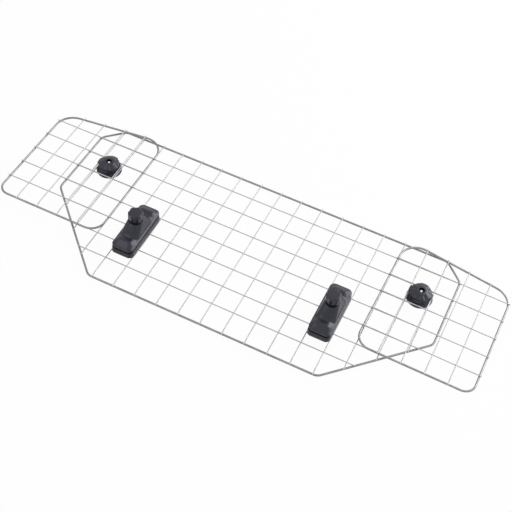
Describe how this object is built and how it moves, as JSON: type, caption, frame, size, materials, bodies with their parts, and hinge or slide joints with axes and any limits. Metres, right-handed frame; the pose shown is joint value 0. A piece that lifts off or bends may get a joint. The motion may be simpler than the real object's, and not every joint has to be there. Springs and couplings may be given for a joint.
{
  "type": "car dog guard",
  "caption": "Welded wire barrier with side wings held by fluted knobs and headrest clamps with tall lobed knobs.",
  "frame": {"origin": "centre of the bounding box in plan, on the plane that the undersides of the clamps rest on", "axes": "+X along the guard's length, +Y towards the edge that is uppermost in use, +Z towards the side with the knobs"},
  "size_m": [1.1074, 0.41, 0.0844],
  "materials": {
    "wire": "bright zinc plating on drawn steel wire, satin",
    "zinc_steel": "zinc-plated fasteners",
    "black_plastic": "satin black moulded plastic",
    "grey_plastic": "dark grey moulded plastic",
    "rubber": "matt black rubber"
  },
  "bodies": {
    "main_panel": {"main_frame": "wire", "main_long_wires": "wire", "main_cross_wires": "wire"},
    "left_wing_clamp": {"left_wing_clamp_disc": "grey_plastic", "left_wing_clamp_bolt": "zinc_steel"},
    "left_wing_clamp_plate": {"left_wing_clamp_plate": "black_plastic"},
    "left_wing": {"left_wing_frame": "wire", "left_wing_long_wires": "wire", "left_wing_cross_wires": "wire"},
    "left_wing_clamp_washer": {"left_wing_clamp_washer": "zinc_steel"},
    "left_wing_knob": {"left_wing_knob": "black_plastic", "left_wing_knob_nut": "zinc_steel"},
    "left_headrest_base": {"left_headrest_back_plate": "grey_plastic", "left_headrest_bolt": "zinc_steel", "left_headrest_base_plate": "grey_plastic", "left_headrest_lower_pad": "rubber"},
    "left_headrest_jaw": {"left_headrest_jaw": "black_plastic", "left_headrest_upper_pad": "rubber", "left_headrest_washer": "zinc_steel"},
    "left_headrest_knob": {"left_headrest_knob": "black_plastic", "left_headrest_knob_nut": "zinc_steel"},
    "right_wing_clamp": {"right_wing_clamp_disc": "grey_plastic", "right_wing_clamp_bolt": "zinc_steel"},
    "right_wing_clamp_plate": {"right_wing_clamp_plate": "black_plastic"},
    "right_wing": {"right_wing_frame": "wire", "right_wing_long_wires": "wire", "right_wing_cross_wires": "wire"},
    "right_wing_clamp_washer": {"right_wing_clamp_washer": "zinc_steel"},
    "right_wing_knob": {"right_wing_knob": "black_plastic", "right_wing_knob_nut": "zinc_steel"},
    "right_headrest_base": {"right_headrest_back_plate": "grey_plastic", "right_headrest_bolt": "zinc_steel", "right_headrest_base_plate": "grey_plastic", "right_headrest_lower_pad": "rubber"},
    "right_headrest_jaw": {"right_headrest_jaw": "black_plastic", "right_headrest_upper_pad": "rubber", "right_headrest_washer": "zinc_steel"},
    "right_headrest_knob": {"right_headrest_knob": "black_plastic", "right_headrest_knob_nut": "zinc_steel"}
  },
  "joints": [
    {"name": "left_clamp_slide", "type": "slide", "parent": "main_panel", "child": "left_wing_clamp", "axis": [-1, 0, 0], "range_m": [0, 0.018]},
    {"name": "left_wing_turn", "type": "hinge", "parent": "left_wing_clamp", "child": "left_wing_clamp_plate", "pos_m": [-0.37554, 0.0791, 0.0213], "axis": [0, 0, 1], "range_deg": [-10, 10]},
    {"name": "left_wing_slide", "type": "slide", "parent": "left_wing_clamp_plate", "child": "left_wing", "axis": [-1, 0, 0], "range_m": [0, 0.018]},
    {"name": "left_washer_lift", "type": "slide", "parent": "left_wing_clamp", "child": "left_wing_clamp_washer", "axis": [0, 0, 1], "range_m": [0, 0.002]},
    {"name": "left_knob_turn", "type": "hinge", "parent": "left_wing_clamp_washer", "child": "left_wing_knob", "pos_m": [-0.37554, 0.0791, 0.0246], "axis": [0, 0, 1], "range_deg": [0, 720]},
    {"name": "left_headrest_swivel", "type": "hinge", "parent": "main_panel", "child": "left_headrest_base", "pos_m": [-0.22554, -0.0624, 0], "axis": [0, 0, 1], "range_deg": [0, 90]},
    {"name": "left_jaw_lift", "type": "slide", "parent": "left_headrest_base", "child": "left_headrest_jaw", "axis": [0, 0, 1], "range_m": [0, 0.012]},
    {"name": "left_headrest_knob_turn", "type": "hinge", "parent": "left_headrest_jaw", "child": "left_headrest_knob", "pos_m": [-0.22554, -0.0624, 0.0619], "axis": [0, 0, 1], "range_deg": [0, 4320]},
    {"name": "right_clamp_slide", "type": "slide", "parent": "main_panel", "child": "right_wing_clamp", "axis": [1, 0, 0], "range_m": [0, 0.018]},
    {"name": "right_wing_turn", "type": "hinge", "parent": "right_wing_clamp", "child": "right_wing_clamp_plate", "pos_m": [0.37446, 0.0791, 0.0213], "axis": [0, 0, 1], "range_deg": [-10, 10]},
    {"name": "right_wing_slide", "type": "slide", "parent": "right_wing_clamp_plate", "child": "right_wing", "axis": [0.9999, -0.0157, 0], "range_m": [0, 0.018]},
    {"name": "right_washer_lift", "type": "slide", "parent": "right_wing_clamp", "child": "right_wing_clamp_washer", "axis": [0, 0, 1], "range_m": [0, 0.002]},
    {"name": "right_knob_turn", "type": "hinge", "parent": "right_wing_clamp_washer", "child": "right_wing_knob", "pos_m": [0.37446, 0.0791, 0.0246], "axis": [0, 0, 1], "range_deg": [0, 720]},
    {"name": "right_headrest_swivel", "type": "hinge", "parent": "main_panel", "child": "right_headrest_base", "pos_m": [0.22446, -0.0589, 0], "axis": [0, 0, 1], "range_deg": [0, 90]},
    {"name": "right_jaw_lift", "type": "slide", "parent": "right_headrest_base", "child": "right_headrest_jaw", "axis": [0, 0, 1], "range_m": [0, 0.012]},
    {"name": "right_headrest_knob_turn", "type": "hinge", "parent": "right_headrest_jaw", "child": "right_headrest_knob", "pos_m": [0.22446, -0.0589, 0.0619], "axis": [0, 0, 1], "range_deg": [0, 4320]}
  ],
  "couplings": [
    {"joint": "left_knob_turn", "follows": "left_washer_lift", "rad_per_m": 6283.2},
    {"joint": "left_headrest_knob_turn", "follows": "left_jaw_lift", "rad_per_m": 6283.2},
    {"joint": "right_knob_turn", "follows": "right_washer_lift", "rad_per_m": 6283.2},
    {"joint": "right_headrest_knob_turn", "follows": "right_jaw_lift", "rad_per_m": 6283.2}
  ]
}
